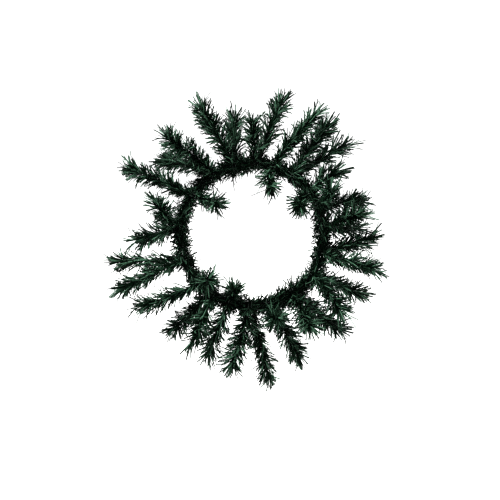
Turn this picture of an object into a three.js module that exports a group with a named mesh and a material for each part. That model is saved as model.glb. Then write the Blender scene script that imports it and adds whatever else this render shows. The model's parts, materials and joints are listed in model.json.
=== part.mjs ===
// A wreath frame of artificial pine: a steel ring with a needle garland wound round it, and pairs of
// bendable branch tips. Each pair is one twisted wire wrapped round the ring, with a needle brush on
// either arm. Millimetres, +Z up, the ring stands in the XZ plane and its front faces -Y.
import * as THREE from 'three';

// Driving dimensions.
const RING_RADIUS = 84;              // to the middle of the ring's wire
const RING_WIRE_DIAMETER = 3.4;
const GARLAND_WIRE_DIAMETER = 1.2;
const GARLAND_TURNS = 18;            // turns of the garland's wire round the ring
const GARLAND_END_GAP = 6;           // between the garland's two ends, at the foot of the ring
const GARLAND_RADIUS = 8;            // of the mat of needles, where nothing is wrapped round it
const GARLAND_PRESSED_WALL = 0.9;    // of the mat under a branch's wrap, which presses it down
const GARLAND_SHOULDER = 1.5;        // along the ring, from the pressed mat up to the full one
const STEM_WIRE_DIAMETER = 1.5;
const WRAP_GAP = 1.9;                // along the ring, between one turn of a wrap and the next
const WRAP_TURNS = 1.5;              // of a branch whose arms both point out
const INWARD_WRAP_TURNS = 1;         // of a branch whose arm b points into the ring
const ARM_REACH = 92;                // of the longest arm's wire, out from the ring's wire
const STEM_LEAD = 16;                // an arm leaves the ring straight for about this far
const ARM_EASE = 0.45;               // share of the way from there to its end where its bend eases off
const BRUSH_ROOT_RADIUS = 5;
const BRUSH_RADIUS = 9.5;            // at the fullest part of a brush
const BRUSH_TIP_RADIUS = 3;
const BRUSH_STANDOFF = 2;            // from a wrap to the first needles of its arm
const BRUSH_OVERHANG = 9;            // the needles reach this far past the wire's end
const CLEARANCE = 0.35;              // between pieces that touch

// How finely the round shapes are divided.
const RING_SEGMENTS = 72;
const RING_SIDES = 8;
const GARLAND_STEP = 6;              // degrees round the ring
const GARLAND_LEAST_STEP = 0.2;      // degrees, below which two steps are made one
const GARLAND_STEPS_PER_TURN = 8;
const GARLAND_SIDES = 8;
const THIN_WIRE_SIDES = 5;
const WRAP_STEPS_PER_TURN = 8;
const ARM_SEGMENTS = 4;              // of the stretch that carries needles
const BRUSH_SIDES = 6;

// Fits, worked out from the sizes above.
const ringWireRadius = RING_WIRE_DIAMETER / 2;
const garlandWireRadius = GARLAND_WIRE_DIAMETER / 2;
const stemWireRadius = STEM_WIRE_DIAMETER / 2;
const garlandWindRadius =
  (ringWireRadius + CLEARANCE + garlandWireRadius) / Math.cos(Math.PI / GARLAND_STEPS_PER_TURN);
const garlandBoreRadius =
  (garlandWindRadius + garlandWireRadius + CLEARANCE) / Math.cos(Math.PI / GARLAND_SIDES);
const garlandPressedRadius = garlandBoreRadius + GARLAND_PRESSED_WALL;
const wrapPitch = STEM_WIRE_DIAMETER + WRAP_GAP;
const wrapRadius =
  (garlandPressedRadius + CLEARANCE + stemWireRadius) / Math.cos(Math.PI / WRAP_STEPS_PER_TURN);
// From the middle of a wrap to either side of the stretch that it presses down.
const pressedHalfWidth = (WRAP_TURNS / 2) * wrapPitch + stemWireRadius + CLEARANCE;
// An arm leans this far over its lead, to the side of the ring it leaves from, so that the brushes of
// a front arm and a back arm have room beside each other.
const armLean = BRUSH_RADIUS + CLEARANCE - wrapRadius;
const brushStart = wrapRadius + stemWireRadius + BRUSH_STANDOFF;
const brushBoreRadius = (stemWireRadius + CLEARANCE) / Math.cos(Math.PI / BRUSH_SIDES);
// A brush's radius at even steps from its root to the wire's end.
const BRUSH_FULLNESS = [0, 0.7, 1, 1, 0.75];

// Branches in order round the ring, anticlockwise from the right as seen from the front. "at" is where
// the wire is wrapped. An arm's end is given by its angle round the ring and, in shares of ARM_REACH,
// how far out it is from the ring's wire (negative into the ring) and how far it rises in front of the
// ring (negative behind it). Arm a leaves from the ring's front. Arm b leaves from its back, or from
// its front where it points into the ring.
const BRANCHES = [
  { at: 6, a: { angle: 11, out: 0.48, rise: 0.46 }, b: { angle: 4, out: 0.52, rise: -0.33 } },
  { at: 24, a: { angle: 29, out: 0.24, rise: 0.45 }, b: { angle: 17.5, out: 0.63, rise: -0.27 } },
  { at: 37, a: { angle: 37, out: 0.5, rise: 0.12 }, b: { angle: 30.5, out: -0.19, rise: 0.38 } },
  { at: 55, a: { angle: 55.5, out: 0.82, rise: 0 }, b: { angle: 43.5, out: 0.85, rise: -0.33 } },
  { at: 73, a: { angle: 62, out: 0.82, rise: 0.37 }, b: { angle: 67, out: -0.27, rise: 0.33 } },
  { at: 86, a: { angle: 90, out: 0.52, rise: 0.46 }, b: { angle: 77.5, out: 0.92, rise: -0.24 } },
  { at: 104, a: { angle: 112, out: 0.87, rise: 0.15 }, b: { angle: 99, out: 0.69, rise: -0.41 } },
  { at: 124, a: { angle: 131.5, out: 0.76, rise: 0.35 }, b: { angle: 140, out: 0.65, rise: -0.38 } },
  { at: 146, a: { angle: 151.5, out: 0.91, rise: 0.11 }, b: { angle: 135.5, out: -0.34, rise: 0.36 } },
  { at: 174, a: { angle: 161, out: 0.36, rise: 0.52 }, b: { angle: 183, out: 0.64, rise: -0.3 } },
  { at: 199, a: { angle: 202.5, out: 0.93, rise: 0.17 }, b: { angle: 191, out: 0.91, rise: -0.17 } },
  { at: 222, a: { angle: 213, out: 0.8, rise: 0.15 }, b: { angle: 227, out: -0.07, rise: 0.4 } },
  { at: 236, a: { angle: 241.5, out: 0.63, rise: 0.37 }, b: { angle: 229.5, out: 0.75, rise: -0.28 } },
  { at: 252, a: { angle: 249.5, out: 0.76, rise: 0.03 }, b: { angle: 250, out: -0.15, rise: 0.37 } },
  { at: 269, a: { angle: 261, out: 0.81, rise: 0.22 }, b: { angle: 277, out: 1, rise: -0.11 } },
  { at: 284, a: { angle: 288, out: 0.2, rise: 0.48 }, b: { angle: 291.5, out: 0.81, rise: -0.12 } },
  { at: 306, a: { angle: 302, out: 0.48, rise: 0.5 }, b: { angle: 312.5, out: 0.82, rise: -0.2 } },
  { at: 328, a: { angle: 318.5, out: 0.63, rise: 0.34 }, b: { angle: 331.5, out: 0.74, rise: -0.25 } },
  { at: 347, a: { angle: 344, out: 0.75, rise: 0.2 }, b: { angle: 358.5, out: 0.64, rise: 0.12 } },
];

const ringSteel = new THREE.MeshStandardMaterial({ color: 0x39413c, roughness: 0.5, metalness: 0.9 });
const twistedWire = new THREE.MeshStandardMaterial({ color: 0x2b332e, roughness: 0.45, metalness: 0.8 });
const garlandGreen = new THREE.MeshStandardMaterial({ color: 0x1c3327, roughness: 0.6, metalness: 0 });
const branchGreen = new THREE.MeshStandardMaterial({ color: 0x20402f, roughness: 0.6, metalness: 0 });

// The ring's own directions where it passes an angle: outwards, along it and to the front.
function ringAxes(angle) {
  const turn = THREE.MathUtils.degToRad(angle);
  return {
    out: new THREE.Vector3(Math.cos(turn), 0, Math.sin(turn)),
    along: new THREE.Vector3(-Math.sin(turn), 0, Math.cos(turn)),
    front: new THREE.Vector3(0, -1, 0),
  };
}

// A point at an angle round the ring, at a reach from its middle and a rise in front of it.
function ringPoint(angle, reach, rise = 0) {
  const { out, front } = ringAxes(angle);
  return out.multiplyScalar(reach).addScaledVector(front, rise);
}

// Frames at each point of a path, turned as little as possible from one to the next.
function framesAlong(points) {
  let across = new THREE.Vector3(0.3, 0.9, 0.2);
  return points.map((point, i) => {
    const before = points[Math.max(i - 1, 0)];
    const after = points[Math.min(i + 1, points.length - 1)];
    const ahead = after.clone().sub(before).normalize();
    across = across.clone().addScaledVector(ahead, -across.dot(ahead)).normalize();
    return { point, across, side: across.clone().cross(ahead) };
  });
}

// A lathed body bent along a path. Each profile point is [radius, frame number].
function latheAlong(profile, frames, sides) {
  const outline = profile.map(([radius, station]) => new THREE.Vector2(radius, station));
  const geometry = new THREE.LatheGeometry(outline, sides);
  const position = geometry.getAttribute('position');
  for (let i = 0; i < position.count; i += 1) {
    const frame = frames[Math.round(position.getY(i))];
    const vertex = frame.point.clone();
    vertex.addScaledVector(frame.across, position.getX(i));
    vertex.addScaledVector(frame.side, position.getZ(i));
    position.setXYZ(i, vertex.x, vertex.y, vertex.z);
  }
  geometry.computeVertexNormals();
  return geometry;
}

// A round wire with flat ends.
function wireAlong(points, radius, sides) {
  const last = points.length - 1;
  const profile = [[0, 0]];
  points.forEach((point, i) => profile.push([radius, i]));
  profile.push([0, last]);
  return latheAlong(profile, framesAlong(points), sides);
}

function named(name, geometry, material) {
  const mesh = new THREE.Mesh(geometry, material);
  mesh.name = name;
  return mesh;
}

function ringWire() {
  const section = [];
  for (let i = 0; i <= RING_SIDES; i += 1) {
    const turn = (2 * Math.PI * (i % RING_SIDES)) / RING_SIDES;
    section.push(new THREE.Vector2(
      RING_RADIUS + ringWireRadius * Math.cos(turn),
      ringWireRadius * Math.sin(turn),
    ));
  }
  return new THREE.LatheGeometry(section, RING_SEGMENTS);
}

// The garland's two ends stop either side of the foot of the ring.
const garlandFirstAngle = -90 + THREE.MathUtils.radToDeg(GARLAND_END_GAP / 2 / RING_RADIUS);
const garlandSweep = 360 - THREE.MathUtils.radToDeg(GARLAND_END_GAP / RING_RADIUS);

function garlandWire() {
  const steps = GARLAND_TURNS * GARLAND_STEPS_PER_TURN;
  const points = [];
  for (let i = 1; i < steps; i += 1) {
    const angle = garlandFirstAngle + (garlandSweep * i) / steps;
    const turn = (2 * Math.PI * i) / GARLAND_STEPS_PER_TURN;
    points.push(ringPoint(
      angle,
      RING_RADIUS + garlandWindRadius * Math.cos(turn),
      garlandWindRadius * Math.sin(turn),
    ));
  }
  return wireAlong(points, garlandWireRadius, THIN_WIRE_SIDES);
}

// The mat is full between the branches and pressed down under each wrap.
function matRadiusAt(angle) {
  const arcs = BRANCHES.map(({ at }) => {
    const between = THREE.MathUtils.euclideanModulo(angle - at + 180, 360) - 180;
    return Math.abs(THREE.MathUtils.degToRad(between)) * RING_RADIUS;
  });
  const upShoulder = (Math.min(...arcs) - pressedHalfWidth) / GARLAND_SHOULDER;
  const share = THREE.MathUtils.clamp(upShoulder, 0, 1);
  return THREE.MathUtils.lerp(garlandPressedRadius, GARLAND_RADIUS, share);
}

function garlandNeedles() {
  const stations = [0, garlandSweep];
  for (let sweep = GARLAND_STEP; sweep < garlandSweep; sweep += GARLAND_STEP) {
    stations.push(sweep);
  }
  for (const { at } of BRANCHES) {
    for (const away of [pressedHalfWidth, pressedHalfWidth + GARLAND_SHOULDER]) {
      const turn = THREE.MathUtils.radToDeg(away / RING_RADIUS);
      stations.push(THREE.MathUtils.euclideanModulo(at - turn - garlandFirstAngle, 360));
      stations.push(THREE.MathUtils.euclideanModulo(at + turn - garlandFirstAngle, 360));
    }
  }
  const sweeps = stations
    .filter((sweep) => sweep <= garlandSweep)
    .sort((first, second) => first - second)
    .filter((sweep, i, all) => i === 0 || sweep - all[i - 1] > GARLAND_LEAST_STEP);
  const angles = sweeps.map((sweep) => garlandFirstAngle + sweep);
  const profile = angles.map((angle, i) => [matRadiusAt(angle), i]);
  for (let i = angles.length - 1; i >= 0; i -= 1) {
    profile.push([garlandBoreRadius, i]);
  }
  profile.push(profile[0]);
  const points = angles.map((angle) => ringPoint(angle, RING_RADIUS));
  return latheAlong(profile, framesAlong(points), GARLAND_SIDES);
}

// The middle line of an arm from where it leaves the wrap to the wire's end: a short stretch up to
// the first needles, then even steps.
function armPoints(root, direction, lean, end) {
  const lead = root.clone().addScaledVector(direction, STEM_LEAD).addScaledVector(lean, armLean);
  const reach = lead.clone().lerp(end, ARM_EASE);
  const curve = new THREE.CubicBezierCurve3(root, lead, reach, end);
  const first = brushStart / curve.getLength();
  const points = [];
  for (let i = 0; i <= ARM_SEGMENTS; i += 1) {
    points.push(curve.getPointAt(first + ((1 - first) * i) / ARM_SEGMENTS));
  }
  return points;
}

// A branch's wire runs in along arm a, round the ring and out along arm b.
function branchPaths(branch) {
  const { out, along, front } = ringAxes(branch.at);
  const middle = out.clone().multiplyScalar(RING_RADIUS);
  const inward = branch.b.out < 0;
  const turns = inward ? INWARD_WRAP_TURNS : WRAP_TURNS;
  const side = Math.sign(branch.a.angle - branch.b.angle) || 1;
  const steps = turns * WRAP_STEPS_PER_TURN;
  const wrap = [];
  for (let i = 0; i <= steps; i += 1) {
    const turn = Math.PI / 2 + (2 * Math.PI * i) / WRAP_STEPS_PER_TURN;
    const offset = side * wrapPitch * (turns / 2 - i / WRAP_STEPS_PER_TURN);
    wrap.push(middle.clone()
      .addScaledVector(out, wrapRadius * Math.cos(turn))
      .addScaledVector(front, wrapRadius * Math.sin(turn))
      .addScaledVector(along, offset));
  }
  const endOf = (arm) => ringPoint(arm.angle, RING_RADIUS + arm.out * ARM_REACH, arm.rise * ARM_REACH);
  const bDirection = inward ? out.clone().negate() : out;
  const bLean = inward ? front : front.clone().negate();
  return {
    wrap,
    a: armPoints(wrap[0], out, front, endOf(branch.a)),
    b: armPoints(wrap[wrap.length - 1], bDirection, bLean, endOf(branch.b)),
  };
}

// A brush of needles on an arm: closed past the wire's end, with a bore that the wire lies in.
function brush(points) {
  const last = points.length - 1;
  const heading = points[last].clone().sub(points[last - 1]).normalize();
  const boreEnd = points[last].clone().addScaledVector(heading, CLEARANCE);
  const tip = points[last].clone().addScaledVector(heading, BRUSH_OVERHANG);
  const frames = framesAlong([...points, boreEnd, tip]);
  const boreEndFrame = last + 1;
  const tipFrame = last + 2;
  const radiusAt = (i) => BRUSH_ROOT_RADIUS + (BRUSH_RADIUS - BRUSH_ROOT_RADIUS) * BRUSH_FULLNESS[i];
  const profile = [[0, boreEndFrame], [brushBoreRadius, boreEndFrame]];
  for (let i = last - 1; i >= 0; i -= 1) {
    profile.push([brushBoreRadius, i]);
  }
  for (let i = 0; i <= last; i += 1) {
    profile.push([radiusAt(i), i]);
  }
  profile.push([BRUSH_TIP_RADIUS, tipFrame], [0, tipFrame]);
  return latheAlong(profile, frames, BRUSH_SIDES);
}

function branchMeshes(branch, number) {
  const name = `branch_${String(number).padStart(2, '0')}`;
  const paths = branchPaths(branch);
  const wire = [...paths.a.slice().reverse(), ...paths.wrap, ...paths.b];
  return [
    named(`${name}_wire`, wireAlong(wire, stemWireRadius, THIN_WIRE_SIDES), twistedWire),
    named(`${name}_needles_a`, brush(paths.a), branchGreen),
    named(`${name}_needles_b`, brush(paths.b), branchGreen),
  ];
}

// The part's origin is where a hook holds it: under the mat at the top of the ring.
const wreath = new THREE.Group();
wreath.position.z = -(RING_RADIUS - GARLAND_RADIUS);
wreath.add(named('ring_wire', ringWire(), ringSteel));
wreath.add(named('ring_garland_wire', garlandWire(), twistedWire));
wreath.add(named('ring_garland_needles', garlandNeedles(), garlandGreen));
BRANCHES.forEach((branch, i) => wreath.add(...branchMeshes(branch, i + 1)));

const part = new THREE.Group();
part.add(wreath);

export default part;
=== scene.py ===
"""A wreath frame of artificial pine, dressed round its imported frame.

The ring's needle mat, the needle brushes on the branch arms and the twisted wires are made here.
Each needle is one small strip, modelled once and copied along the wires that carry it.
"""
import json
import math

import bpy
import numpy as np
from bpy.props import FloatProperty, FloatVectorProperty, IntProperty, PointerProperty
from bpy.types import Operator, Panel, PropertyGroup
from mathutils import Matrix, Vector

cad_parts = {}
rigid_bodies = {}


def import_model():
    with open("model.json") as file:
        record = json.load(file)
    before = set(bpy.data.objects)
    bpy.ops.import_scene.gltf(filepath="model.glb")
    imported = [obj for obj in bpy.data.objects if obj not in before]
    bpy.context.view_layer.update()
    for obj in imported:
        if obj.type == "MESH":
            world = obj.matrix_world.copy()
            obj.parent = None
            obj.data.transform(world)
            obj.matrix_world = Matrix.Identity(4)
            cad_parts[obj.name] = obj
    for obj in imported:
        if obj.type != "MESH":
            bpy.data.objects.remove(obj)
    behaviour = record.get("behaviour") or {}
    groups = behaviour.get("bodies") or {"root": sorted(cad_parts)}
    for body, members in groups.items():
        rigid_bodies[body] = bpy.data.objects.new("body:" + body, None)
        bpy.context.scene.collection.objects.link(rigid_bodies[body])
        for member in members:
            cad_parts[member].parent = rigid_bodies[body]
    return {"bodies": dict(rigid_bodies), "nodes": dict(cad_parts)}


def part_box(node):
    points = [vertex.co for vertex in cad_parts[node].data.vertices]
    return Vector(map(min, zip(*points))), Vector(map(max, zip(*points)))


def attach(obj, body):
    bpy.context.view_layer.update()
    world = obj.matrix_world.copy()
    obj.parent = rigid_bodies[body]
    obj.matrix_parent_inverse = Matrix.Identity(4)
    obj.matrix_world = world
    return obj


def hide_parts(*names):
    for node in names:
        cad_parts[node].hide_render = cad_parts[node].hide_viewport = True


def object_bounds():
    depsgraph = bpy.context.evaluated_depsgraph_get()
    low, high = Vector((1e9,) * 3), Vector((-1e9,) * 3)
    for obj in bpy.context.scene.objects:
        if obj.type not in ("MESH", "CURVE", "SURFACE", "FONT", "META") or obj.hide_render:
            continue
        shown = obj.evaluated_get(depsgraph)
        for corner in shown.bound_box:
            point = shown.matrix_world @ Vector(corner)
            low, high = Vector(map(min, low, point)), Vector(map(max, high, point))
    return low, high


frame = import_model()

bl_info = {
    "name": "Wreath Frame Dresser",
    "version": (1, 0, 0),
    "blender": (4, 5, 0),
    "location": "View3D > Sidebar > Wreath",
    "description": "Covers a wreath frame with artificial pine needles and twisted wire",
    "category": "Object",
}

CAD_LOW, CAD_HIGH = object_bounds()
RING_LOW, RING_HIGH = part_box("ring_wire")
RING_MIDDLE = (RING_LOW + RING_HIGH) / 2
RING_THICKNESS = RING_HIGH.y - RING_LOW.y
RING_RADIUS = (RING_HIGH.x - RING_LOW.x - RING_THICKNESS) / 2
MAT_LOW, MAT_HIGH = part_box("ring_garland_needles")
MAT_RADIUS = (MAT_HIGH.y - MAT_LOW.y) / 2
BRANCHES = sorted(body for body in frame["bodies"] if body.startswith("branch_"))
SEED = 41
# How full an arm's brush is beside the others: crushed or stretched open in the box.
FULLNESS = {
    "branch_01_b": 0.8, "branch_04_b": 0.85, "branch_06_a": 0.8, "branch_06_b": 0.85, "branch_07_a": 1.3,
    "branch_08_a": 1.3, "branch_09_a": 1.25, "branch_10_b": 1.2, "branch_11_a": 0.85, "branch_11_b": 0.8,
    "branch_12_a": 0.8, "branch_13_b": 1.25, "branch_15_a": 1.25, "branch_16_a": 1.25, "branch_16_b": 1.15,
    "branch_17_a": 1.3, "branch_17_b": 1.15, "branch_18_a": 1.25, "branch_18_b": 1.15, "branch_19_a": 1.1,
    "branch_19_b": 0.85,
}
# Stretches of the ring, in degrees from the right, where its garland is brushed up.
BRUSHED_UP = ((92, 112), (280, 310))
BRUSHED_UP_SHARE = 0.4       # needles added there, beside the rest of the garland
BRUSHED_UP_LENGTH = 1.3      # their length beside the garland's
BRUSHED_UP_SWEEP = 1.1
# The garland's needles lie both ways along the ring: the share of them, the way, and their sweep.
GARLAND_LAYS = ((0.7, 1, 0.5), (0.3, -1, 0.85))
GARLAND_RADIUS = RING_RADIUS + MAT_RADIUS * 0.2   # the line that most of them stand on
GARLAND_CORE = MAT_RADIUS * 0.28                  # from that line to their roots
GARLAND_SPREAD = 0.3                              # how unevenly they are swept
# Arms of the branches.
ARM_STEP = 0.001             # between the points of an arm's path
ARM_CORE = 0.0005            # from an arm's middle line to the roots of its needles
ARM_SPREAD = 0.17            # how unevenly its needles are swept,
ARM_RUFFLE = 0.25            # and how much more on an arm that points forward
RUFFLE_FROM = 0.3            # by more than this
ARM_COUNTS, ARM_LENGTHS, ARM_SWEEPS = (0.9, 1.1), (0.95, 1.05), (0.93, 1.07)   # from arm to arm
BARE_END = 0.004             # of wire at the end of an arm
# How needles stand on their wire. Angles are in radians, and sizes are beside the usual one.
BUNCH_SIZE = 3               # needles that one turn of the twist holds together
BUNCH_TURN = 2.39996         # round the wire, from one bunch to the next
BUNCH_SLIP, NEEDLE_SLIP = 0.5, 0.7   # how unevenly a bunch and its needles are turned
BUNCH_DEPTH = 0.006          # share of the path that a bunch is spread over
NEEDLE_SPREAD = 0.8          # how unevenly needles of one bunch are swept, beside the bunches
LEAST_SWEEP, MOST_SWEEP = 0.12, 1.45
STRAY_SHARE = 0.06           # of the needles stand out from the rest
STRAY_SWEEP = (1.0, 1.75)    # at these angles
TIP_CLOSING = 0.45           # how far the last needles close up to point ahead
BUNCH_UNEVEN, NEEDLE_UNEVEN = 0.1, 0.09   # in length
SHORTEST, LONGEST = 0.55, 1.3
SWELL = 0.14                 # how much the brush swells and narrows
SWELL_WAVES = (8, 14)        # how fast it does, over the path,
SWELL_START = 6.28           # and the latest it starts on its wave
SWOLLEN_LONGEST = 1.22
FLAT_LENGTH = 1.12           # of a needle that lies along its wire,
OUTWARD_LOSS = 0.22          # which one that stands out loses by its angle
PRESSED_LENGTH = 0.62        # of a needle at the start of its wire
ROLL = 0.9
SAG = (0.02, 0.19)           # mean and spread of a needle's bend across its flat side
BEND = 0.07                  # and of its bend any way
HOOKED_SHARE = 0.25          # of the needles curl at the end
CURL = 0.24
WIDTHS = (0.7, 1.12)
BUNCH_SHADE = (1.7, 2.6)     # most bunches are of a middle shade or a darker one
NEEDLE_SHADE = 0.14          # how unevenly the needles of a bunch are shaded
# The palest needles are painted glints: their pale grey green stands in for highlights on the PVC.
PAINTED_GLINT_SHARE = 0.15            # of the needles are the palest shade
# One needle at unit size: the height of its root piece, then each further piece's height and narrowing.
NEEDLE_ROOT = 0.3
NEEDLE_PIECES = ((0.35, 1.05), (0.31, 0.97), (0.04, 0.7))
LEVEL_TOLERANCE = 1e-4
STRIP_MARGIN, STRIP_SPAN = 0.08, 0.84   # of a needle's side strip in its bake map
PINE_GLOSS = 0.08
GARLAND_TONE, BRANCH_TONE = -0.04, 0.1   # how much paler their needles are than the ramp's own shades
TWIST_STEPS = 6              # points on each strand in one full twist
GARLAND_TWIST = 0.8          # length of the garland wire's twist beside a branch wire's
CORNER_REACH = 0.001         # corners of one ring of a CAD wire are nearer than this
WRAP_REACH = 1.2             # a branch's wire is wrapped where it is this near the ring, beside its nearest
# Stage.
FLOOR_RADIUS, FLOOR_SIDES = 3.0, 96
RIM_STEPS, RIM_RISE, RIM_GROWTH = 6, 0.16, 0.05
KEY_PLACE, KEY_SIZE = Vector((-0.7, -1.1, 1.2)), 0.9      # from the middle of the ring
FILL_PLACE, FILL_SIZE = Vector((1.3, -1.0, 0.2)), 1.2
BACK_PLACE, BACK_SIZE = Vector((0.4, 1.3, 1.0)), 1.0
VIEW_CENTRE = Vector((-0.004, 0, -0.03))                  # from there, as shares of the view's width
SENSOR = 36
BAKE_MAP = "OFBake"


# Settings

class WreathNeedles(PropertyGroup):
    """Shape, number and colour of the needles."""

    length: FloatProperty(
        name="Length", description="Length of a branch needle",
        default=0.0182, min=0.004, subtype="DISTANCE", unit="LENGTH")
    width: FloatProperty(
        name="Width", description="Width of the flat strip that a needle is cut as",
        default=0.00155, min=0.0002, subtype="DISTANCE", unit="LENGTH")
    thickness: FloatProperty(
        name="Thickness", description="Thickness of the strip at its fold",
        default=0.0008, min=0.0001, subtype="DISTANCE", unit="LENGTH")
    sweep: FloatProperty(
        name="Sweep", description="Angle between a needle and the wire that holds it",
        default=math.radians(41), subtype="ANGLE", unit="ROTATION")
    per_metre: IntProperty(
        name="Needles per metre", description="How closely the branch needles stand along their wire",
        default=4200, min=100)
    ring_length: FloatProperty(
        name="Ring needle length", description="Length of a needle of the ring's garland",
        default=0.0142, min=0.004, subtype="DISTANCE", unit="LENGTH")
    ring_per_metre: IntProperty(
        name="Ring needles per metre", description="How closely the garland's needles stand",
        default=7600, min=100)
    shade_colour: FloatVectorProperty(
        name="Shade", description="Colour of the darkest needles",
        default=(0.0006, 0.0030, 0.0012), size=3, min=0, max=1, subtype="COLOR")
    body_colour: FloatVectorProperty(
        name="Body", description="Colour of most needles",
        default=(0.0026, 0.0120, 0.0053), size=3, min=0, max=1, subtype="COLOR")
    # The palest colour is a painted glint, standing in for highlights on the needles.
    pale_glint_colour: FloatVectorProperty(
        name="Light", description="Colour of the palest needles",
        default=(0.076, 0.142, 0.098), size=3, min=0, max=1, subtype="COLOR")


class WreathWires(PropertyGroup):
    """Twisted wires of the garland and the branches."""

    twist: FloatProperty(
        name="Twist", description="Length of one full twist of a pair of strands",
        default=0.0055, min=0.001, subtype="DISTANCE", unit="LENGTH")
    colour: FloatVectorProperty(
        name="Wire", description="Colour of the dulled wire",
        default=(0.050, 0.062, 0.055), size=3, min=0, max=1, subtype="COLOR")
    lacquer: FloatVectorProperty(
        name="Hoop lacquer", description="Colour of the lacquer on the steel hoop",
        default=(0.012, 0.030, 0.019), size=3, min=0, max=1, subtype="COLOR")


class WreathStage(PropertyGroup):
    """Floor, lights and camera."""

    floor_drop: FloatProperty(
        name="Floor drop", description="How far the floor lies below the lowest branch",
        default=0.45, min=0, subtype="DISTANCE", unit="LENGTH")
    floor_colour: FloatVectorProperty(
        name="Floor", description="Colour of the floor",
        default=(0.93, 0.93, 0.925), size=3, min=0, max=1, subtype="COLOR")
    key_power: FloatProperty(
        name="Key light", description="Power of the large soft light above the front",
        default=86.0, min=0, subtype="POWER", unit="POWER")
    fill_power: FloatProperty(
        name="Fill light", description="Power of the soft light beside the front",
        default=5.0, min=0, subtype="POWER", unit="POWER")
    back_power: FloatProperty(
        name="Back light", description="Power of the soft light above the back",
        default=12.0, min=0, subtype="POWER", unit="POWER")
    camera_distance: FloatProperty(
        name="Camera distance", description="From the camera to the middle of the ring",
        default=1.4, min=0.3, subtype="DISTANCE", unit="LENGTH")
    view_width: FloatProperty(
        name="View width", description="What the camera's view spans at the ring",
        default=0.6, min=0.1, subtype="DISTANCE", unit="LENGTH")


# Paths and frames

def mesh_points(mesh):
    """The vertices of a mesh as rows of x, y, z."""
    found = np.empty(len(mesh.vertices) * 3, np.float32)
    mesh.vertices.foreach_get("co", found)
    return found.reshape(-1, 3).astype(float)


def wire_middle(node):
    """The middle line of a CAD wire, in order from end to end, and the wire's radius. Both come from
    the rings of corners that the wire is made of."""
    mesh = frame["nodes"][node].data
    corners, which = np.unique(np.round(mesh_points(mesh), 6), axis=0, return_inverse=True)
    which = which.reshape(-1)
    near = np.linalg.norm(corners[:, None] - corners[None], axis=2) < CORNER_REACH
    ring_of = np.full(len(corners), -1)
    rings = []
    radius = 0.0
    for start in range(len(corners)):
        if ring_of[start] >= 0:
            continue
        members, todo = {start}, [start]
        while todo:
            for other in np.flatnonzero(near[todo.pop()]):
                if other not in members:
                    members.add(int(other))
                    todo.append(int(other))
        found = corners[list(members)]
        ring_of[list(members)] = len(rings)
        rings.append(found.mean(axis=0))
        radius = max(radius, np.linalg.norm(found - rings[-1], axis=1).max())
    beside = [set() for _ in rings]
    for face in mesh.polygons:
        touched = {int(ring_of[which[v]]) for v in face.vertices}
        for ring in touched:
            beside[ring] |= touched - {ring}
    ends = [i for i, others in enumerate(beside) if len(others) == 1]
    if len(ends) != 2:
        raise RuntimeError(f"{node} is not one wire with two ends")
    order = [ends[0]]
    while len(order) < len(rings):
        onward = [i for i in beside[order[-1]] if i not in order]
        if not onward:
            raise RuntimeError(f"{node} has a break in it")
        order.append(onward[0])
    return np.array([rings[i] for i in order]), radius


def smooth_path(points, spacing):
    """A smooth path through the points, with a step of about spacing."""
    reach = np.r_[0, np.cumsum(np.linalg.norm(np.diff(points, axis=0), axis=1))]
    slope = np.gradient(points, reach, axis=0)
    wanted = np.linspace(0, reach[-1], max(2, int(round(reach[-1] / spacing)) + 1))
    span = np.clip(np.searchsorted(reach, wanted, side="right") - 1, 0, len(points) - 2)
    width = (reach[span + 1] - reach[span])[:, None]
    t = ((wanted - reach[span])[:, None]) / width
    return (
        points[span] * (2 * t**3 - 3 * t**2 + 1)
        + slope[span] * width * (t**3 - 2 * t**2 + t)
        + points[span + 1] * (3 * t**2 - 2 * t**3)
        + slope[span + 1] * width * (t**3 - t**2)
    )


def unit(vectors):
    """Each row at length 1."""
    return vectors / np.maximum(np.linalg.norm(vectors, axis=-1, keepdims=True), 1e-12)


def path_frames(path):
    """Heading, across and side directions along a path, turned as little as possible."""
    heading = unit(np.gradient(path, axis=0))
    across = np.empty_like(heading)
    last = np.array([0.31, 0.87, 0.22])
    for i, ahead in enumerate(heading):
        last = last - ahead * last.dot(ahead)
        last /= np.linalg.norm(last)
        across[i] = last
    return heading, across, np.cross(heading, across)


def ring_path(start, end, radius):
    """A line round the ring, from one angle to another in degrees, with a step of one degree."""
    turns = np.radians(np.linspace(start, end, round(end - start) + 1))
    return np.array(RING_MIDDLE) + radius * np.stack(
        [np.cos(turns), np.zeros_like(turns), np.sin(turns)], axis=1)


def ring_distance(points):
    """How far each point is from the hoop's own line."""
    flat = points - np.array(RING_MIDDLE)
    outward = np.hypot(flat[:, 0], flat[:, 2]) - RING_RADIUS
    return np.hypot(outward, flat[:, 1])


def branch_arms(body):
    """The middle line of a branch's wire, its radius, and the lines of its two arms, each from the ring
    out to the wire's end."""
    middle, radius = wire_middle(body + "_wire")
    low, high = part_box(body + "_needles_a")
    towards_a = np.array((low + high) / 2)
    if np.linalg.norm(middle[-1] - towards_a) < np.linalg.norm(middle[0] - towards_a):
        middle = middle[::-1]
    away = ring_distance(middle)
    wrapped = np.flatnonzero(away < away.min() * WRAP_REACH)
    return middle, radius, middle[: wrapped[0] + 1][::-1], middle[wrapped[-1]:]


# Modelling

def deselect_all():
    """Nothing is selected and nothing is being edited."""
    if bpy.context.object and bpy.context.object.mode != "OBJECT":
        bpy.ops.object.mode_set(mode="OBJECT")
    bpy.ops.object.select_all(action="DESELECT")


def select_level(mesh, height):
    """Selects the faces of an edited mesh that lie flat at a height."""
    bpy.ops.object.mode_set(mode="OBJECT")
    for face in mesh.polygons:
        face.select = all(abs(mesh.vertices[v].co.z - height) < LEVEL_TOLERANCE for v in face.vertices)
    bpy.ops.object.mode_set(mode="EDIT")


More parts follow.
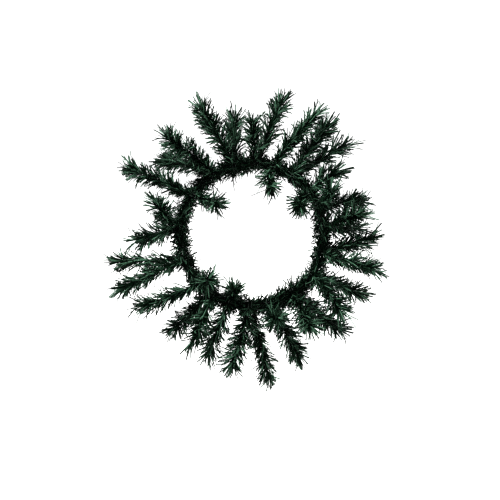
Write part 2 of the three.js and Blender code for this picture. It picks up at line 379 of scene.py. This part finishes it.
def model_needle():
    """One needle at unit size: a folded strip, 1 wide, 1 thick and 1 long, from its root up to a blunt tip.
    It gives back its corners, faces and bake map, and is deleted."""
    deselect_all()
    bpy.ops.mesh.primitive_cylinder_add(
        vertices=4, radius=0.5, depth=NEEDLE_ROOT, end_fill_type="NGON", location=(0, 0, NEEDLE_ROOT / 2))
    needle = bpy.context.object
    bpy.ops.object.transform_apply(location=True, rotation=True, scale=True)
    bpy.ops.object.mode_set(mode="EDIT")
    bpy.ops.mesh.select_mode(type="FACE")
    bpy.ops.mesh.select_all(action="DESELECT")
    level = NEEDLE_ROOT
    for rise, narrowing in NEEDLE_PIECES:
        select_level(needle.data, level)
        bpy.ops.mesh.extrude_region_move(TRANSFORM_OT_translate={"value": (0, 0, rise)})
        bpy.ops.transform.resize(value=(narrowing, narrowing, 1))
        level += rise
    bpy.ops.mesh.select_all(action="SELECT")
    bpy.ops.mesh.normals_make_consistent(inside=False)
    bpy.ops.object.mode_set(mode="OBJECT")
    mesh = needle.data
    corners = mesh_points(mesh)
    faces = [tuple(face.vertices) for face in mesh.polygons]
    middles = [np.array(face.center) for face in mesh.polygons]
    bpy.data.objects.remove(needle)
    bpy.data.meshes.remove(mesh)
    return corners, np.array(faces), needle_map(corners, faces, middles)


def needle_map(corners, faces, middles):
    """Where each face corner of one needle lies in a unit cell: four side strips and the two ends."""
    placed = []
    for face, middle in zip(faces, middles):
        flat_end = np.ptp(corners[list(face), 2]) < LEVEL_TOLERANCE
        turn = math.atan2(middle[1], middle[0]) % (2 * math.pi)
        column = int(turn // (math.pi / 2)) if not flat_end else 0
        for order, vertex in enumerate(face):
            x, y, z = corners[vertex]
            if flat_end:
                corner_u, corner_v = ((0, 0), (1, 0), (1, 1), (0, 1))[order]
                placed.append((0.1 + 0.2 * corner_u, (0.02 if z < 0.5 else 0.95) + 0.03 * corner_v))
                continue
            angle = (math.atan2(y, x) - column * math.pi / 2) % (2 * math.pi)
            far = 0 if angle > math.pi * 1.5 or angle < 0.1 else 1
            strip_u = (column + STRIP_MARGIN + STRIP_SPAN * far) / 4
            placed.append((strip_u, STRIP_MARGIN + STRIP_SPAN * z))
    return np.array(placed)


class Needles:
    """Needles to plant: a row for each one's root, direction, flat side, size, bend and tone, where the
    palest tone is a painted glint.
    """

    def __init__(self):
        self.rows = []

    def add(self, root, direction, flat, length, width, bend, curl, tone_and_glint):
        """Adds needles, one for each row of the arrays."""
        self.rows.append((root, direction, flat, length, width, bend, curl, tone_and_glint))

    def columns(self):
        """Each value as one array over all the needles."""
        return [np.concatenate([row[i] for row in self.rows]) for i in range(8)]


def plant(name, needles, template, thickness):
    """One mesh object with a copy of the needle for each row."""
    shape, faces, cell = template
    root, direction, flat, length, width, bend, curl, tone_and_glint = needles.columns()
    count = len(root)
    edge = unit(np.cross(direction, flat))
    up = shape[None, :, 2:3]
    spots = root[:, None] + direction[:, None] * (up * length[:, None, None])
    spots = spots + flat[:, None] * (shape[None, :, 0:1] * width[:, None, None])
    spots = spots + edge[:, None] * (shape[None, :, 1:2] * thickness)
    spots = spots + bend[:, None] * up**2 + curl[:, None] * up**4
    corners = (faces[None] + (np.arange(count) * len(shape))[:, None, None]).reshape(-1)
    mesh = bpy.data.meshes.new(name)
    mesh.vertices.add(count * len(shape))
    mesh.vertices.foreach_set("co", spots.astype(np.float32).reshape(-1))
    mesh.loops.add(len(corners))
    mesh.loops.foreach_set("vertex_index", corners.astype(np.int32))
    sides = faces.shape[1]
    mesh.polygons.add(count * len(faces))
    mesh.polygons.foreach_set("loop_start", np.arange(count * len(faces), dtype=np.int32) * sides)
    mesh.update(calc_edges=True)
    mesh.validate()
    for label, values in (
        ("needle_tone_and_glint", np.repeat(tone_and_glint, len(shape))),
        ("needle_along", np.tile(shape[:, 2], count)),
    ):
        attribute = mesh.attributes.new(label, "FLOAT", "POINT")
        attribute.data.foreach_set("value", values.astype(np.float32))
    grid = math.ceil(math.sqrt(count))
    place = np.stack([np.arange(count) % grid, np.arange(count) // grid], axis=1)
    cells = ((cell[None] + place[:, None]) / grid).astype(np.float32)
    bake_map = mesh.uv_layers.new(name=BAKE_MAP)
    bake_map.data.foreach_set("uv", cells.reshape(-1))
    piece = bpy.data.objects.new(name, mesh)
    bpy.context.scene.collection.objects.link(piece)
    return piece


def bunch_count(count):
    """The number of bunches that this many needles stand in."""
    return max(1, count // BUNCH_SIZE)


def needle_places(rng, count, sweep, spread, first, last, tip):
    """Each needle's bunch, where along its path it stands, its turn round the wire and its angle to it.
    Over the share tip at the path's end, needles close up to point ahead."""
    bunches = bunch_count(count)
    bunch = rng.integers(0, bunches, count)
    at = np.linspace(first, last, bunches)[bunch] + rng.normal(0, BUNCH_DEPTH, count)
    at = np.clip(at, first, last)
    turn = (np.arange(bunches) * BUNCH_TURN + rng.normal(0, BUNCH_SLIP, bunches))[bunch]
    turn = turn + rng.normal(0, NEEDLE_SLIP, count)
    angle = sweep + rng.normal(0, spread, bunches)[bunch] + rng.normal(0, spread * NEEDLE_SPREAD, count)
    angle = np.clip(np.abs(angle), LEAST_SWEEP, MOST_SWEEP)
    stray = rng.random(count) < STRAY_SHARE
    angle = np.where(stray, rng.uniform(*STRAY_SWEEP, count), angle)
    if tip > 0:
        closing = np.clip((at - (last - tip)) / tip, 0, 1)
        angle = angle * (1 - TIP_CLOSING * closing)
    return bunch, at, turn, angle


def needle_lengths(rng, length, bunch, at, turn, angle, first, grow):
    """The length of each needle. The brush swells and narrows along its wire, and over the share grow from
    the path's start its needles are pressed short."""
    count = len(bunch)
    uneven = rng.normal(1, BUNCH_UNEVEN, bunch_count(count))[bunch] * rng.normal(1, NEEDLE_UNEVEN, count)
    size = length * np.clip(uneven, SHORTEST, LONGEST)
    swell = np.sin(at * rng.uniform(*SWELL_WAVES) + turn + rng.uniform(0, SWELL_START))
    size = np.minimum(size * (1 + SWELL * swell), length * SWOLLEN_LONGEST)
    size = size * (FLAT_LENGTH - OUTWARD_LOSS * np.clip(angle, 0, MOST_SWEEP))
    if grow > 0:
        grown = np.clip((at - first) / grow, 0, 1)
        size = size * (PRESSED_LENGTH + (1 - PRESSED_LENGTH) * grown)
    return size


def scatter(needles, rng, path, count, length, width, sweep, spread, lift, first=0.0, last=1.0, tip=0.0,
            grow=0.0):
    """Plants needles along a wire in small bunches, from the share first of the path to the share last.
    lift is the distance of their roots from the path."""
    heading, across, side = path_frames(path)
    bunch, at, turn, angle = needle_places(rng, count, sweep, spread, first, last, tip)
    index = at * (len(path) - 1)
    low = np.minimum(index.astype(int), len(path) - 2)
    part = (index - low)[:, None]
    point = path[low] * (1 - part) + path[low + 1] * part
    ahead = heading[low]
    out = across[low] * np.cos(turn)[:, None] + side[low] * np.sin(turn)[:, None]
    direction = unit(ahead * np.cos(angle)[:, None] + out * np.sin(angle)[:, None])
    round_about = unit(np.cross(direction, ahead + 1e-6))
    roll = rng.normal(0, ROLL, count)[:, None]
    flat = unit(round_about * np.cos(roll) + np.cross(direction, round_about) * np.sin(roll))
    size = needle_lengths(rng, length, bunch, at, turn, angle, first, grow)
    sag = rng.normal(*SAG, count)[:, None] * size[:, None]
    bend = np.cross(direction, flat) * sag + rng.normal(0, BEND, (count, 3)) * size[:, None]
    hooked = (rng.random(count) < HOOKED_SHARE)[:, None]
    curl = np.where(hooked, rng.normal(0, CURL, (count, 3)) * size[:, None], 0)
    curl -= direction * np.sum(curl * direction, axis=1, keepdims=True)
    wide = width * rng.uniform(*WIDTHS, count)
    tone_and_glint = rng.beta(*BUNCH_SHADE, bunch_count(count))[bunch] + rng.normal(0, NEEDLE_SHADE, count)
    # A share of the needles take the palest tone: painted glints.
    tone_and_glint = np.where(rng.random(count) < PAINTED_GLINT_SHARE, 1, np.clip(tone_and_glint, 0, 1))
    needles.add(point + out * lift, direction, flat, size, wide, bend, curl, tone_and_glint)


def strand(path, radius, name):
    """A round wire strand along a path, as a mesh with closed ends."""
    deselect_all()
    bpy.ops.curve.primitive_bezier_curve_add()
    wire = bpy.context.object
    wire.name = name
    wire.data.splines.clear()
    line = wire.data.splines.new("POLY")
    line.points.add(len(path) - 1)
    line.points.foreach_set("co", np.c_[path, np.ones(len(path))].astype(np.float32).reshape(-1))
    wire.data.bevel_depth = radius
    wire.data.bevel_resolution = 1
    wire.data.use_fill_caps = True
    bpy.ops.object.convert(target="MESH")
    return bpy.context.object


def twisted_pair(name, middle, outer, twist):
    """Two strands twisted round a middle line, joined as one piece."""
    path = smooth_path(middle, twist / TWIST_STEPS)
    _, across, side = path_frames(path)
    reach = np.r_[0, np.cumsum(np.linalg.norm(np.diff(path, axis=0), axis=1))]
    turn = 2 * math.pi * reach / twist
    strands = []
    for half in (0, math.pi):
        offset = across * np.cos(turn + half)[:, None] + side * np.sin(turn + half)[:, None]
        strands.append(strand(path + offset * outer / 2, outer / 2, name))
    deselect_all()
    for piece in strands:
        piece.select_set(True)
    bpy.context.view_layer.objects.active = strands[0]
    bpy.ops.object.join()
    pair = bpy.context.object
    pair.name = name
    bpy.ops.object.transform_apply(location=True, rotation=True, scale=True)
    bpy.ops.object.shade_smooth()
    return pair


# Materials

def new_material(name):
    """A material with its shader, ready for more nodes."""
    material = bpy.data.materials.new(name)
    material.use_nodes = True
    nodes = material.node_tree.nodes
    return material, nodes, material.node_tree.links, nodes["Principled BSDF"]


def object_noise(nodes, links, scale, detail=3.0, roughness=0.55):
    """A noise pattern fixed to the object's own coordinates."""
    where = nodes.new("ShaderNodeTexCoord")
    noise = nodes.new("ShaderNodeTexNoise")
    noise.inputs["Scale"].default_value = scale
    noise.inputs["Detail"].default_value = detail
    noise.inputs["Roughness"].default_value = roughness
    links.new(where.outputs["Object"], noise.inputs["Vector"])
    return noise


def colour_ramp(nodes, stops):
    """A colour ramp with these (place, colour) stops."""
    ramp = nodes.new("ShaderNodeValToRGB")
    elements = ramp.color_ramp.elements
    elements[0].position, elements[0].color = stops[0][0], (*stops[0][1], 1)
    elements[1].position, elements[1].color = stops[-1][0], (*stops[-1][1], 1)
    for place, colour in stops[1:-1]:
        element = elements.new(place)
        element.color = (*colour, 1)
    return ramp


def map_range(nodes, links, source, low, high):
    """A pattern's 0 to 1 brought to low to high."""
    spread = nodes.new("ShaderNodeMapRange")
    spread.inputs["To Min"].default_value = low
    spread.inputs["To Max"].default_value = high
    links.new(source, spread.inputs["Value"])
    return spread.outputs["Result"]


def bump(nodes, links, source, strength, distance, shader):
    """Raises the surface by a pattern."""
    node = nodes.new("ShaderNodeBump")
    node.inputs["Strength"].default_value = strength
    node.inputs["Distance"].default_value = distance
    links.new(source, node.inputs["Height"])
    links.new(node.outputs["Normal"], shader.inputs["Normal"])


def pine_material(name, settings, lift):
    """Pressed PVC strip with a satin film. Every needle has its own tone, and the palest needles are
    painted glints; painted shade darkens each needle at its root, and it is darker at its tip too.
    """
    material, nodes, links, shader = new_material(name)
    tone_and_glint = nodes.new("ShaderNodeAttribute")
    tone_and_glint.attribute_name = "needle_tone_and_glint"
    along = nodes.new("ShaderNodeAttribute")
    along.attribute_name = "needle_along"
    patches = object_noise(nodes, links, 26.0)
    mixed = nodes.new("ShaderNodeMath")
    mixed.operation = "MULTIPLY_ADD"
    mixed.inputs[1].default_value = 0.7
    links.new(tone_and_glint.outputs["Fac"], mixed.inputs[0])
    links.new(map_range(nodes, links, patches.outputs["Fac"], lift - 0.15, lift + 0.25), mixed.inputs[2])
    # The ramp runs from the darkest needles to the palest, whose colour is a painted glint.
    ramp = colour_ramp(nodes, (
        (0.05, settings.shade_colour), (0.45, settings.body_colour), (0.95, settings.pale_glint_colour)))
    links.new(mixed.outputs["Value"], ramp.inputs["Fac"])
    root = nodes.new("ShaderNodeMix")
    root.data_type = "RGBA"
    root.blend_type = "MULTIPLY"
    root.inputs["Factor"].default_value = 1.0
    links.new(ramp.outputs["Color"], root.inputs["A"])
    # Painted shade: each needle is darkened towards its root, where it goes into the brush; it is also
    # darker towards its tip.
    root_shade_and_tip_tone = colour_ramp(nodes, ((0.0, (0.4,) * 3), (0.5, (1.0,) * 3), (1.0, (0.5,) * 3)))
    links.new(along.outputs["Fac"], root_shade_and_tip_tone.inputs["Fac"])
    links.new(root_shade_and_tip_tone.outputs["Color"], root.inputs["B"])
    links.new(root.outputs["Result"], shader.inputs["Base Color"])
    shader.inputs["Specular IOR Level"].default_value = PINE_GLOSS
    grain = object_noise(nodes, links, 1400.0, 2.0)
    links.new(map_range(nodes, links, grain.outputs["Fac"], 0.34, 0.56), shader.inputs["Roughness"])
    bump(nodes, links, grain.outputs["Fac"], 0.25, 0.0001, shader)
    return material


def wire_material(name, colour):
    """Dulled zinc wire with darker patches."""
    material, nodes, links, shader = new_material(name)
    shader.inputs["Metallic"].default_value = 0.85
    stain = object_noise(nodes, links, 300.0, 4.0)
    darker = tuple(c * 0.45 for c in colour)
    ramp = colour_ramp(nodes, ((0.3, darker), (0.6, tuple(colour)), (0.8, tuple(c * 1.5 for c in colour))))
    links.new(stain.outputs["Fac"], ramp.inputs["Fac"])
    links.new(ramp.outputs["Color"], shader.inputs["Base Color"])
    links.new(map_range(nodes, links, stain.outputs["Fac"], 0.35, 0.6), shader.inputs["Roughness"])
    bump(nodes, links, stain.outputs["Fac"], 0.3, 0.0001, shader)
    return material


def lacquer_material(name, colour):
    """Green lacquer over a steel hoop, thin and a little rough."""
    material, nodes, links, shader = new_material(name)
    shader.inputs["Coat Weight"].default_value = 0.3
    orange_peel = object_noise(nodes, links, 900.0, 2.0)
    wear = object_noise(nodes, links, 120.0, 5.0)
    ramp = colour_ramp(nodes, ((0.35, tuple(colour)), (0.7, tuple(c * 2.2 for c in colour))))
    links.new(wear.outputs["Fac"], ramp.inputs["Fac"])
    links.new(ramp.outputs["Color"], shader.inputs["Base Color"])
    links.new(map_range(nodes, links, wear.outputs["Fac"], 0.3, 0.5), shader.inputs["Roughness"])
    bump(nodes, links, orange_peel.outputs["Fac"], 0.2, 0.0001, shader)
    return material


def floor_material(name, colour):
    """Pale matt studio floor, with the faintest mottling."""
    material, nodes, links, shader = new_material(name)
    mottle = object_noise(nodes, links, 2.0)
    paler = tuple(min(1.0, c * 1.01) for c in colour)
    ramp = colour_ramp(nodes, ((0.3, tuple(colour)), (0.7, paler)))
    links.new(mottle.outputs["Fac"], ramp.inputs["Fac"])
    links.new(ramp.outputs["Color"], shader.inputs["Base Color"])
    links.new(map_range(nodes, links, mottle.outputs["Fac"], 0.8, 0.95), shader.inputs["Roughness"])
    return material


def dress(piece, material):
    """The piece wears this material alone."""
    piece.data.materials.clear()
    piece.data.materials.append(material)


# Operators

class WREATH_OT_hoop(Operator):
    """Lacquer the steel hoop inside the garland"""

    bl_idname = "wreath.hoop"
    bl_label = "Hoop"

    def execute(self, context):
        hoop = frame["nodes"]["ring_wire"]
        dress(hoop, lacquer_material("hoop_lacquer", context.scene.wreath_wires.lacquer))
        return {"FINISHED"}


class WREATH_OT_garland_wire(Operator):
    """Twist the garland's wire round the hoop"""

    bl_idname = "wreath.garland_wire"
    bl_label = "Garland wire"

    def execute(self, context):
        wires = context.scene.wreath_wires
        middle, radius = wire_middle("ring_garland_wire")
        pair = twisted_pair("garland_twisted_wire", middle, radius, wires.twist * GARLAND_TWIST)
        dress(pair, wire_material("garland_wire_zinc", wires.colour))
        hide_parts("ring_garland_wire")
        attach(pair, "ring")
        return {"FINISHED"}


class WREATH_OT_garland_needles(Operator):
    """Cover the ring with the garland's short needles"""

    bl_idname = "wreath.garland_needles"
    bl_label = "Garland needles"

    def execute(self, context):
        settings = context.scene.wreath_needles
        rng = np.random.default_rng(SEED)
        path = ring_path(0, 360, GARLAND_RADIUS)
        count = int(settings.ring_per_metre * 2 * math.pi * RING_RADIUS)
        needles = Needles()
        for share, way, sweep in GARLAND_LAYS:
            scatter(
                needles, rng, path[::way], int(count * share), settings.ring_length,
                settings.width, sweep, GARLAND_SPREAD, GARLAND_CORE)
        for start, end in BRUSHED_UP:
            reach = math.radians(end - start) * RING_RADIUS
            count = int(settings.ring_per_metre * BRUSHED_UP_SHARE * reach)
            scatter(
                needles, rng, ring_path(start, end, RING_RADIUS), count,
                settings.ring_length * BRUSHED_UP_LENGTH, settings.width, BRUSHED_UP_SWEEP,
                GARLAND_SPREAD, GARLAND_CORE)
        mat = plant("garland_pine_mat", needles, model_needle(), settings.thickness)
        dress(mat, pine_material("garland_pine", settings, GARLAND_TONE))
        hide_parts("ring_garland_needles")
        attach(mat, "ring")
        return {"FINISHED"}


class WREATH_OT_branch_wires(Operator):
    """Twist each branch's wire, wrapped round the ring at its middle"""

    bl_idname = "wreath.branch_wires"
    bl_label = "Branch wires"

    def execute(self, context):
        wires = context.scene.wreath_wires
        zinc = wire_material("branch_wire_zinc", wires.colour)
        for body in BRANCHES:
            middle, radius, _, _ = branch_arms(body)
            pair = twisted_pair(body + "_twisted_wire", middle, radius, wires.twist)
            dress(pair, zinc)
            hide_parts(body + "_wire")
            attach(pair, body)
        return {"FINISHED"}


class WREATH_OT_branch_needles(Operator):
    """Cover the arms of every branch with needles"""

    bl_idname = "wreath.branch_needles"
    bl_label = "Branch needles"

    def execute(self, context):
        settings = context.scene.wreath_needles
        template = model_needle()
        pine = pine_material("branch_pine", settings, BRANCH_TONE)
        for number, body in enumerate(BRANCHES):
            _, _, arm_a, arm_b = branch_arms(body)
            for letter, arm in (("a", arm_a), ("b", arm_b)):
                rng = np.random.default_rng((SEED, number, ord(letter)))
                path = smooth_path(arm, ARM_STEP)
                reach = (len(path) - 1) * ARM_STEP
                fullness = FULLNESS.get(f"{body}_{letter}", 1.0)
                forward = -unit(path[-1] - path[len(path) // 2])[1]
                ruffled = ARM_SPREAD + ARM_RUFFLE * max(0.0, forward - RUFFLE_FROM)
                needles = Needles()
                count = int(settings.per_metre * reach * fullness * rng.uniform(*ARM_COUNTS))
                length = settings.length * rng.uniform(*ARM_LENGTHS)
                sweep = settings.sweep * fullness * rng.uniform(*ARM_SWEEPS)
                scatter(
                    needles, rng, path, count, length, settings.width, sweep, ruffled, ARM_CORE,
                    first=0.04, last=1 - BARE_END / reach, tip=0.1, grow=0.3)
                brush = plant(f"{body}_pine_{letter}", needles, template, settings.thickness)
                dress(brush, pine)
                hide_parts(f"{body}_needles_{letter}")
                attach(brush, body)
        return {"FINISHED"}


def soft_light(name, place, target, size, power):
    """A large square light that faces a point."""
    deselect_all()
    bpy.ops.object.light_add(type="AREA", location=place)
    light = bpy.context.object
    light.name = name
    light.data.size = size
    light.data.energy = power
    light.rotation_euler = (Vector(target) - Vector(place)).to_track_quat("-Z", "Y").to_euler()
    return light


class WREATH_OT_stage(Operator):
    """Set the pale floor, the soft lights and the camera"""

    bl_idname = "wreath.stage"
    bl_label = "Stage"

    def execute(self, context):
        settings = context.scene.wreath_stage
        self.floor(settings)
        self.lights(settings)
        self.camera(context, settings)
        return {"FINISHED"}

    def floor(self, settings):
        """A wide round floor with a rim that curves up."""
        deselect_all()
        level = CAD_LOW.z - settings.floor_drop
        bpy.ops.mesh.primitive_circle_add(
            vertices=FLOOR_SIDES, radius=FLOOR_RADIUS, fill_type="NGON",
            location=(RING_MIDDLE.x, RING_MIDDLE.y, level))
        floor = bpy.context.object
        floor.name = "studio_floor"
        bpy.ops.object.transform_apply(location=True, rotation=True, scale=True)
        bpy.ops.object.mode_set(mode="EDIT")
        bpy.ops.mesh.select_mode(type="EDGE")
        bpy.ops.mesh.select_all(action="SELECT")
        bpy.ops.mesh.region_to_loop()
        for step in range(RIM_STEPS):
            slope = (step + 1) / RIM_STEPS * math.pi / 2
            bpy.ops.mesh.extrude_edges_move(
                TRANSFORM_OT_translate={"value": (0, 0, RIM_RISE * math.sin(slope))})
            grown = 1 + RIM_GROWTH * math.cos(slope)
            bpy.ops.transform.resize(value=(grown, grown, 1))
        bpy.ops.object.mode_set(mode="OBJECT")
        bpy.ops.object.shade_smooth()
        dress(floor, floor_material("studio_floor_paint", settings.floor_colour))

    def lights(self, settings):
        """White surroundings, a key light above the front, a fill beside it and one above the back."""
        world = bpy.data.worlds.new("studio_white")
        world.use_nodes = True
        world.node_tree.nodes["Background"].inputs["Color"].default_value = (1, 1, 1, 1)
        world.node_tree.nodes["Background"].inputs["Strength"].default_value = 1.0
        bpy.context.scene.world = world
        middle = RING_MIDDLE
        soft_light("key_light", middle + KEY_PLACE, middle, KEY_SIZE, settings.key_power)
        soft_light("fill_light", middle + FILL_PLACE, middle, FILL_SIZE, settings.fill_power)
        soft_light("back_light", middle + BACK_PLACE, middle, BACK_SIZE, settings.back_power)

    def camera(self, context, settings):
        """Level, straight in front, with the ring a little above the middle of the view."""
        deselect_all()
        centre = RING_MIDDLE + VIEW_CENTRE * settings.view_width
        place = centre + Vector((0, -settings.camera_distance, 0))
        bpy.ops.object.camera_add(location=place, rotation=(math.pi / 2, 0, 0))
        camera = bpy.context.object
        camera.name = "front_camera"
        camera.data.sensor_width = SENSOR
        camera.data.lens = SENSOR * settings.camera_distance / settings.view_width
        camera.data.clip_start = 0.05
        camera.data.clip_end = 50
        context.scene.camera = camera
        context.scene.view_settings.view_transform = "Standard"
        context.scene.view_settings.look = "High Contrast"


class WREATH_PT_dresser(Panel):
    """Lists the steps that dress the wreath"""

    bl_label = "Wreath"
    bl_idname = "WREATH_PT_dresser"
    bl_space_type = "VIEW_3D"
    bl_region_type = "UI"
    bl_category = "Wreath"

    def draw(self, context):
        for settings in (
            context.scene.wreath_needles, context.scene.wreath_wires, context.scene.wreath_stage):
            column = self.layout.column()
            for name in settings.__annotations__:
                column.prop(settings, name)
        for step in STEPS:
            self.layout.operator(step.bl_idname)


STEPS = (
    WREATH_OT_hoop,
    WREATH_OT_garland_wire,
    WREATH_OT_garland_needles,
    WREATH_OT_branch_wires,
    WREATH_OT_branch_needles,
    WREATH_OT_stage,
)
SETTINGS = {
    "wreath_needles": WreathNeedles,
    "wreath_wires": WreathWires,
    "wreath_stage": WreathStage,
}


def register():
    """Adds the settings, the steps and the panel."""
    for name, settings in SETTINGS.items():
        bpy.utils.register_class(settings)
        setattr(bpy.types.Scene, name, PointerProperty(type=settings))
    for step in (*STEPS, WREATH_PT_dresser):
        bpy.utils.register_class(step)


def unregister():
    """Takes them away again."""
    for step in reversed((*STEPS, WREATH_PT_dresser)):
        bpy.utils.unregister_class(step)
    for name, settings in SETTINGS.items():
        delattr(bpy.types.Scene, name)
        bpy.utils.unregister_class(settings)


def main():
    """Adds the steps, then dresses the wreath with them."""
    register()
    bpy.ops.wreath.hoop()
    bpy.ops.wreath.garland_wire()
    bpy.ops.wreath.garland_needles()
    bpy.ops.wreath.branch_wires()
    bpy.ops.wreath.branch_needles()
    bpy.ops.wreath.stage()


if __name__ == "__main__":
    main()
